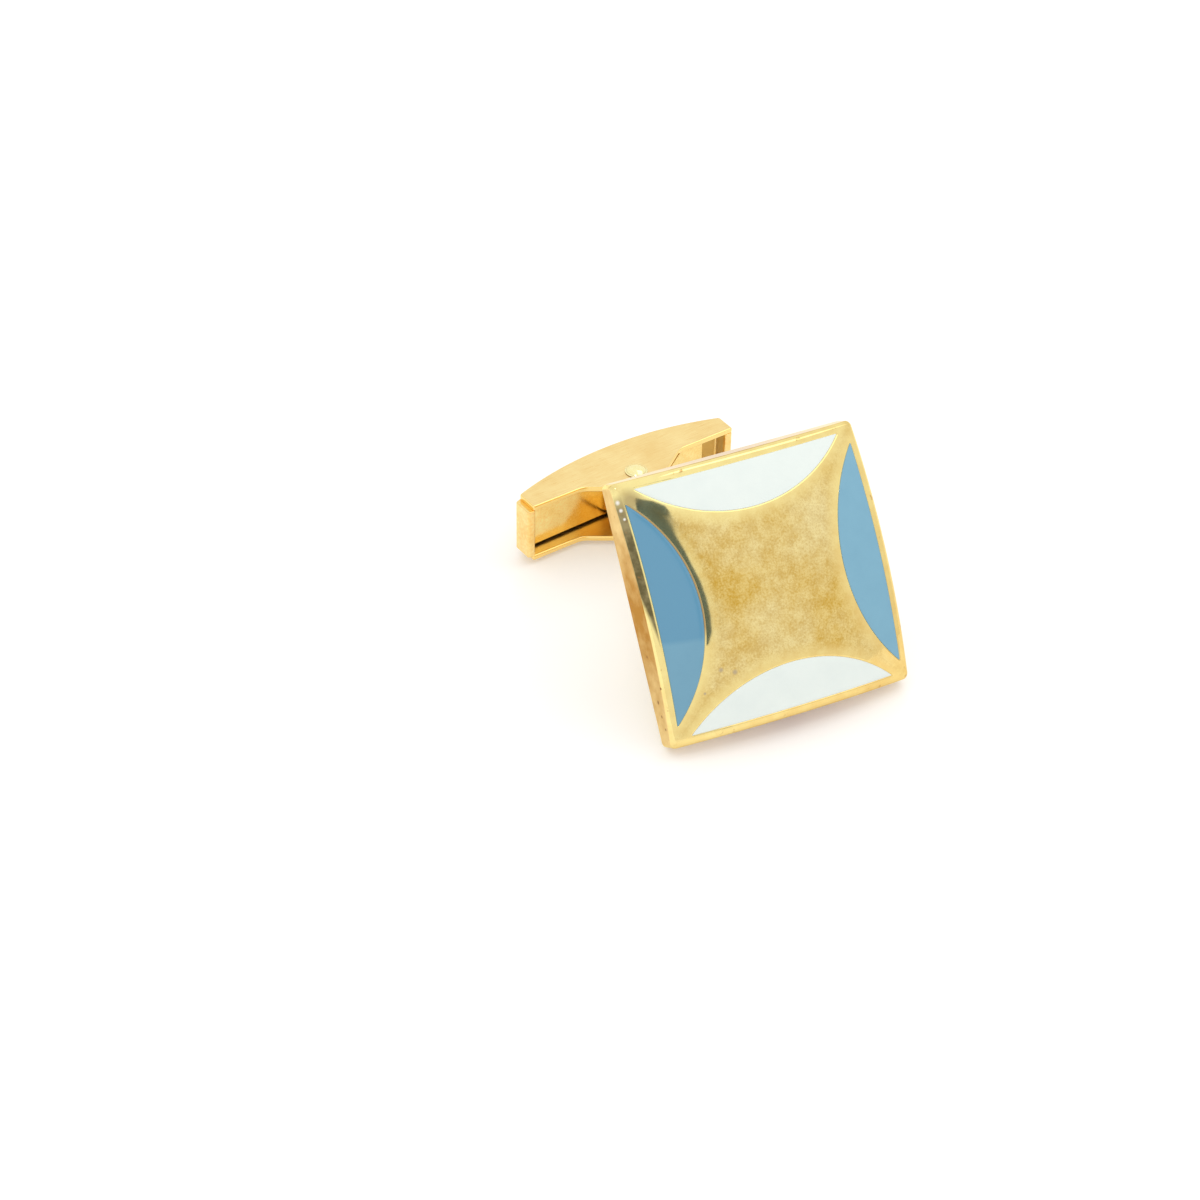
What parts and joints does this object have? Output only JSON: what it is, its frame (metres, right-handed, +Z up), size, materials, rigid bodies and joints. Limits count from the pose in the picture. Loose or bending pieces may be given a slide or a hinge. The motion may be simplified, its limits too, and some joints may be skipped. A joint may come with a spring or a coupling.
{
  "type": "cufflink",
  "caption": "Square domed cufflink with enamel cells at the four sides, a curved post and a sprung swivel toggle riveted between brushed cheeks.",
  "frame": {"origin": "middle of the cufflink's bounding box at the level of the table it lies on", "axes": "+Z up from the table, +X to the right of a viewer who looks at the face, +Y from the face to the toggle"},
  "size_m": [0.0174, 0.0276, 0.0158],
  "materials": {
    "polished_gold": "gold plate, polished, with faint mottled wear",
    "brushed_gold": "gold plate, brushed along the toggle",
    "spring_bronze": "gold-plated spring bronze, smooth",
    "white_enamel": "opaque fired enamel, polished flush, glossy",
    "blue_enamel": "opaque fired enamel, polished flush, glossy"
  },
  "bodies": {
    "head": {"face_plate": "polished_gold", "enamel_white_top": "white_enamel", "enamel_white_bottom": "white_enamel", "enamel_blue_left": "blue_enamel", "enamel_blue_right": "blue_enamel", "post": "polished_gold"},
    "toggle": {"toggle_frame": "polished_gold", "upper_cheek": "brushed_gold", "lower_cheek": "brushed_gold", "leaf_spring": "spring_bronze", "pivot_pin": "polished_gold"}
  },
  "joints": [
    {"name": "toggle_swivel", "type": "hinge", "parent": "head", "child": "toggle", "pos_m": [0.00002, 0.01002, 0.00265], "axis": [0, 0, 1], "range_deg": [-97, 79], "deforming": ["leaf_spring"]}
  ]
}
